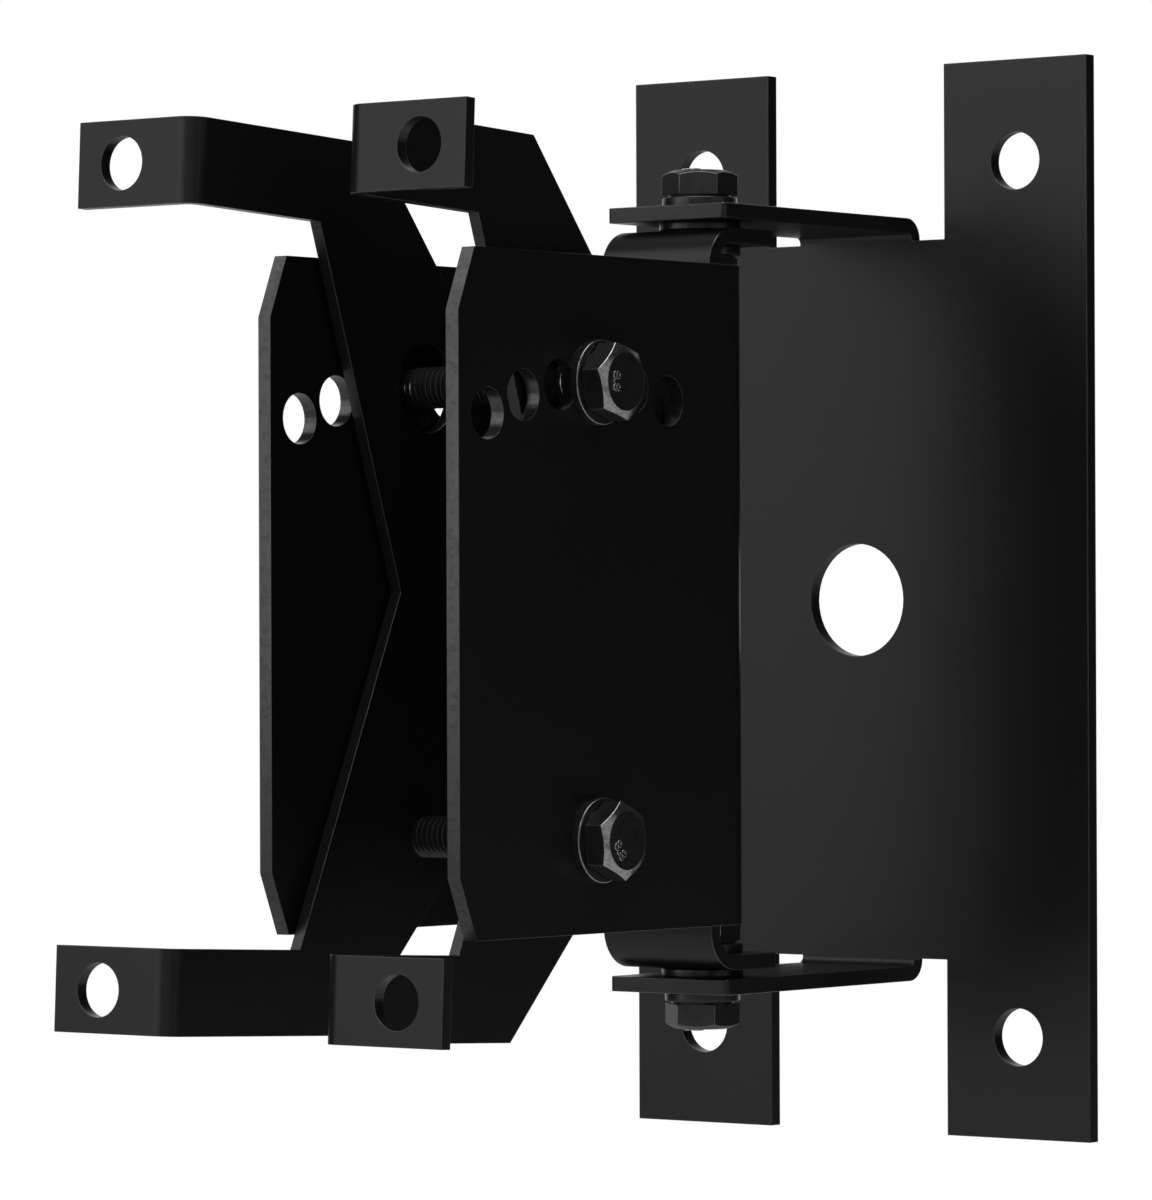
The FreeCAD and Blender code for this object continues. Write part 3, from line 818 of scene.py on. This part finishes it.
class FastenerSettings(bpy.types.PropertyGroup):
    across_flats: bpy.props.FloatProperty(
        name="Across flats", description="Hexagon size", default=13 * MM, unit="LENGTH",
        precision=5)
    head_height: bpy.props.FloatProperty(
        name="Head height", description="Height of a bolt's head", default=5.3 * MM,
        unit="LENGTH", precision=5)
    collar_height: bpy.props.FloatProperty(
        name="Collar height", description="Height of the round face under a head",
        default=0.4 * MM, unit="LENGTH", precision=5)
    crown_radius: bpy.props.FloatProperty(
        name="Crown radius", description="Radius of the flat face on a bolt's head",
        default=5.5 * MM, unit="LENGTH", precision=5)
    crown_slope: bpy.props.FloatProperty(
        name="Crown slope", description="Slope of the turned corners", default=math.radians(27),
        subtype="ANGLE")
    fastener_edge_radius: bpy.props.FloatProperty(
        name="Edge radius", description="Rounding of the hexagons' edges", default=0.12 * MM,
        unit="LENGTH", precision=5)
    thread_diameter: bpy.props.FloatProperty(
        name="Thread diameter", description="Outside diameter of the thread", default=8 * MM,
        unit="LENGTH", precision=5)
    thread_pitch: bpy.props.FloatProperty(
        name="Thread pitch", description="Rise of one turn", default=1.25 * MM, unit="LENGTH",
        precision=5)
    thread_steps: bpy.props.IntProperty(
        name="Thread steps", description="Facets in one turn of the thread", default=40, min=8)
    tip_chamfer: bpy.props.FloatProperty(
        name="Tip chamfer", description="Chamfer at the end of a bolt", default=0.9 * MM,
        unit="LENGTH", precision=5)
    round_steps: bpy.props.IntProperty(
        name="Round steps", description="Facets round a washer or a hexagon's blank",
        default=72, min=12)
    split_width: bpy.props.FloatProperty(
        name="Split width", description="Gap in a spring washer", default=1.2 * MM,
        unit="LENGTH", precision=5)
    split_rise: bpy.props.FloatProperty(
        name="Split rise", description="Step between the ends of a spring washer",
        default=0.15 * MM, unit="LENGTH", precision=5)
    mark: bpy.props.StringProperty(
        name="Mark", description="Strength class on the heads", default="8.8")
    mark_size: bpy.props.FloatProperty(
        name="Mark size", description="Height of the figures", default=3.1 * MM,
        unit="LENGTH", precision=5)
    mark_height: bpy.props.FloatProperty(
        name="Mark height", description="How far the figures stand out", default=0.2 * MM,
        unit="LENGTH", precision=5)
    mark_offset: bpy.props.FloatProperty(
        name="Mark offset", description="Distance of the figures from the bolt's axis",
        default=3.0 * MM, unit="LENGTH", precision=5)
    pan_rub: bpy.props.FloatProperty(
        name="Pan rub", description="Wear of the pan fasteners beside that of the tilt ones",
        default=0.05, min=0.0, max=1.0)
    thread_wear: bpy.props.FloatProperty(
        name="Thread wear", description="Wear of the threads' crests", default=0.7, min=0.0,
        max=1.0)
    washer_wear: bpy.props.FloatProperty(
        name="Washer wear", description="Wear of the washers' edges", default=0.6, min=0.0,
        max=1.0)
    chamfer_wear: bpy.props.FloatProperty(
        name="Chamfer wear", description="Wear of the hexagons' turned corners", default=0.9,
        min=0.0, max=1.0)
    steel_colour: bpy.props.FloatVectorProperty(
        name="Steel colour", description="Mean colour of the black steel", subtype="COLOR",
        default=(0.07, 0.07, 0.071), min=0.0, max=1.0)
    worn_steel: bpy.props.FloatVectorProperty(
        name="Worn steel", description="Colour of the steel where its corners are rubbed",
        subtype="COLOR", default=(0.62, 0.62, 0.61), min=0.0, max=1.0)
    steel_roughness: bpy.props.FloatProperty(
        name="Steel roughness", description="Mean roughness of the black steel", default=0.31,
        min=0.0, max=1.0)


class StageSettings(bpy.types.PropertyGroup):
    camera_place: bpy.props.FloatVectorProperty(
        name="Camera place", description="Where the camera stands",
        default=(0.75379, -1.06994, -0.00652), unit="LENGTH", precision=5)
    azimuth: bpy.props.FloatProperty(
        name="Azimuth", description="Turn of the camera round the bracket",
        default=math.radians(37.745), subtype="ANGLE")
    elevation: bpy.props.FloatProperty(
        name="Elevation", description="Tip of the camera", default=math.radians(-0.294),
        subtype="ANGLE")
    roll: bpy.props.FloatProperty(
        name="Roll", description="Roll of the camera", default=math.radians(0.2),
        subtype="ANGLE")
    lens: bpy.props.FloatProperty(
        name="Lens", description="Focal length in millimetres", default=192.61)
    ambient: bpy.props.FloatProperty(
        name="Ambient", description="Strength of the light from all round", default=0.01,
        min=0.0)
    backdrop_reach: bpy.props.FloatProperty(
        name="Backdrop reach",
        description="Half the angle that the white backdrop fills in reflections",
        default=math.radians(50), subtype="ANGLE")
    floor_drop: bpy.props.FloatProperty(
        name="Floor drop", description="How far the floor lies under the origin", default=0.36,
        unit="LENGTH")
    floor_colour: bpy.props.FloatVectorProperty(
        name="Floor colour", description="Colour of the floor", subtype="COLOR",
        default=(0.75, 0.75, 0.75), min=0.0, max=1.0)
    floor_lift: bpy.props.FloatProperty(
        name="Floor lift", description="How much nearer to white the camera sees the floor",
        default=0.4, min=0.0)
    top_power: bpy.props.FloatProperty(
        name="Top power", description="Power of the lamp overhead in watts", default=22.0)
    key_power: bpy.props.FloatProperty(
        name="Key power", description="Power of the raised lamp on the left in watts",
        default=4.6)
    rim_power: bpy.props.FloatProperty(
        name="Rim power",
        description="Power of the high lamp in front that draws the edges in watts",
        default=4.0)
    panel_power: bpy.props.FloatProperty(
        name="Panel power", description="Power of the level panel on the left in watts",
        default=8.1)
    side_power: bpy.props.FloatProperty(
        name="Side power", description="Power of the lamp on the right in watts", default=2.5)
    front_power: bpy.props.FloatProperty(
        name="Front power", description="Power of the wide lamp behind the camera in watts",
        default=3.4)


# Operators

class BRACKET_OT_stage(bpy.types.Operator):
    """Adds the camera, the lamps, the floor and the backdrop"""
    bl_idname = "bracket.stage"
    bl_label = "Stage"

    def execute(self, context):
        settings = context.scene.bracket_stage
        context.scene.view_settings.view_transform = "Standard"
        add_camera(settings)
        light_world(settings)
        add_floor(settings)
        for name, (place, width, height) in LAMPS.items():
            area_lamp(name, place, width, height, getattr(settings, f"{name.lower()}_power"))
        return {"FINISHED"}


class BRACKET_OT_wall_plate(bpy.types.Operator):
    """Builds the coated wall plate with its two ears"""
    bl_idname = "bracket.wall_plate"
    bl_label = "Wall plate"

    def execute(self, context):
        folded_plate("wall_plate", context.scene.bracket_plates)
        return {"FINISHED"}


class BRACKET_OT_swivel_channel(bpy.types.Operator):
    """Builds the coated swivel channel between the ears"""
    bl_idname = "bracket.swivel_channel"
    bl_label = "Swivel channel"

    def execute(self, context):
        folded_plate("swivel_channel", context.scene.bracket_plates)
        return {"FINISHED"}


class BRACKET_OT_tilt_channel(bpy.types.Operator):
    """Builds the coated tilt channel and the welds that hold it to the swivel channel"""
    bl_idname = "bracket.tilt_channel"
    bl_label = "Tilt channel and welds"

    def execute(self, context):
        folded_plate("tilt_channel", context.scene.bracket_plates)
        weld_beads(context.scene.bracket_plates)
        return {"FINISHED"}


class BRACKET_OT_speaker_yoke(bpy.types.Operator):
    """Builds the coated fork that carries the loudspeaker"""
    bl_idname = "bracket.speaker_yoke"
    bl_label = "Speaker yoke"

    def execute(self, context):
        folded_plate("speaker_yoke", context.scene.bracket_plates)
        return {"FINISHED"}


class BRACKET_OT_pan_fasteners(bpy.types.Operator):
    """Builds the bolts, washers and nuts of the pan axis"""
    bl_idname = "bracket.pan_fasteners"
    bl_label = "Pan fasteners"

    def execute(self, context):
        settings = context.scene.bracket_fasteners
        rubbed = settings.pan_rub
        front = Vector((0, -1, 0))
        for side, sign in PAN_SIDES:
            outward = Vector((0, 0, sign))
            make_washer(f"pan_spring_washer_{side}", outward, "wall", rubbed, settings, split=True)
            make_bolt(f"pan_bolt_{side}", outward, "wall", front, rubbed, settings)
            make_washer(f"pan_spacer_{side}", outward, "wall", rubbed, settings)
            make_washer(f"pan_washer_{side}", outward, "wall", rubbed, settings)
            make_nut(f"pan_nut_{side}", outward, "wall", settings)
        return {"FINISHED"}


class BRACKET_OT_tilt_fasteners(bpy.types.Operator):
    """Builds the two long bolts of the tilt joint with their washers and nuts"""
    bl_idname = "bracket.tilt_fasteners"
    bl_label = "Tilt fasteners"

    def execute(self, context):
        settings = context.scene.bracket_fasteners
        rubbed = 1.0
        outward = Vector((1, 0, 0))
        for name, angle in TILT_BOLTS:
            mark_side = Vector((0, -math.cos(angle), -math.sin(angle)))
            make_washer(f"{name}_head_washer", outward, "swivel", rubbed, settings)
            make_bolt(f"{name}_bolt", outward, "swivel", mark_side, rubbed, settings)
            make_washer(f"{name}_nut_washer", outward, "swivel", rubbed, settings)
            make_nut(f"{name}_nut", outward, "swivel", settings)
        return {"FINISHED"}


class BRACKET_PT_panel(bpy.types.Panel):
    """Lists the bracket's pieces and the stage"""
    bl_label = "Speaker Wall Bracket"
    bl_idname = "BRACKET_PT_panel"
    bl_space_type = "VIEW_3D"
    bl_region_type = "UI"
    bl_category = "Bracket"

    def draw(self, context):
        for operator in OPERATORS:
            self.layout.operator(operator.bl_idname)
        for group in GROUPS:
            settings = getattr(context.scene, group)
            column = self.layout.column()
            for name in settings.bl_rna.properties.keys():
                if name not in ("rna_type", "name"):
                    column.prop(settings, name)


GROUPS = {
    "bracket_plates": PlateSettings,
    "bracket_fasteners": FastenerSettings,
    "bracket_stage": StageSettings,
}
OPERATORS = (
    BRACKET_OT_stage,
    BRACKET_OT_wall_plate,
    BRACKET_OT_swivel_channel,
    BRACKET_OT_tilt_channel,
    BRACKET_OT_speaker_yoke,
    BRACKET_OT_pan_fasteners,
    BRACKET_OT_tilt_fasteners,
)
CLASSES = (*GROUPS.values(), *OPERATORS, BRACKET_PT_panel)


def register():
    for cls in CLASSES:
        bpy.utils.register_class(cls)
    for name, group in GROUPS.items():
        setattr(bpy.types.Scene, name, bpy.props.PointerProperty(type=group))


def unregister():
    for name in GROUPS:
        delattr(bpy.types.Scene, name)
    for cls in reversed(CLASSES):
        bpy.utils.unregister_class(cls)


def main():
    register()
    for operator in OPERATORS:
        group, name = operator.bl_idname.split(".")
        getattr(getattr(bpy.ops, group), name)()


if __name__ == "__main__":
    main()
